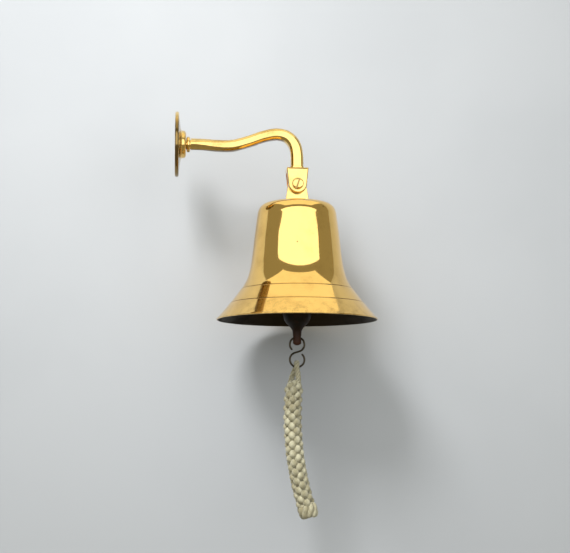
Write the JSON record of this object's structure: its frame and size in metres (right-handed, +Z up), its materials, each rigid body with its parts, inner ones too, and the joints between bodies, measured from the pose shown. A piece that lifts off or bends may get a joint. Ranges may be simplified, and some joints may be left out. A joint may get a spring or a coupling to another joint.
{
  "type": "ship bell",
  "caption": "Brass ship bell hung in the fork of a swan-necked wall bracket, with an iron clapper, a wire hook and a plaited cotton lanyard.",
  "frame": {"origin": "centre of the wall plate's back face, where it lies on the wall", "axes": "+X away from the wall, +Z up, Y along the wall; the bell's pivot runs along Y"},
  "size_m": [0.1264, 0.1, 0.2517],
  "materials": {
    "polished_brass": "mirror polish with fine scratches, small pits and a little tarnish",
    "dull_brass": "unpolished, dark and dull",
    "dark_iron": "dark cast iron, browned at the tail",
    "dark_wire": "dark drawn wire with olive-brown tarnish",
    "cotton_cord": "natural cotton, soft round plait"
  },
  "bodies": {
    "bracket": {"wall_plate": "polished_brass", "arm_collar": "polished_brass", "bracket_arm": "polished_brass", "pivot_screw": "polished_brass", "pivot_washer": "polished_brass", "pivot_nut": "polished_brass"},
    "bell": {"crown_lug": "polished_brass", "bell_body": "polished_brass", "crown_washer": "dull_brass", "crown_nut": "dull_brass", "clapper_staple": "dark_iron"},
    "clapper": {"clapper": "dark_iron"},
    "hook": {"lanyard_hook": "dark_wire"},
    "lanyard": {"lanyard_eye": "cotton_cord", "lanyard_rope": "cotton_cord", "lanyard_end_knot": "cotton_cord"}
  },
  "joints": [
    {"name": "bell_swing", "type": "hinge", "parent": "bracket", "child": "bell", "pos_m": [0.0764, 0, -0.0249], "axis": [0, 1, 0], "range_deg": [-40, 19]},
    {"name": "clapper_swing", "type": "hinge", "parent": "bell", "child": "clapper", "pos_m": [0.0764, 0, -0.0579], "axis": [0, 1, 0], "range_deg": [-33, 33]},
    {"name": "hook_swing", "type": "hinge", "parent": "clapper", "child": "hook", "pos_m": [0.0764, 0, -0.1247], "axis": [0, 1, 0], "range_deg": [-40, 40]},
    {"name": "lanyard_swing", "type": "hinge", "parent": "hook", "child": "lanyard", "pos_m": [0.0764, 0, -0.1341], "axis": [0, 1, 0], "range_deg": [-35, 35]}
  ]
}
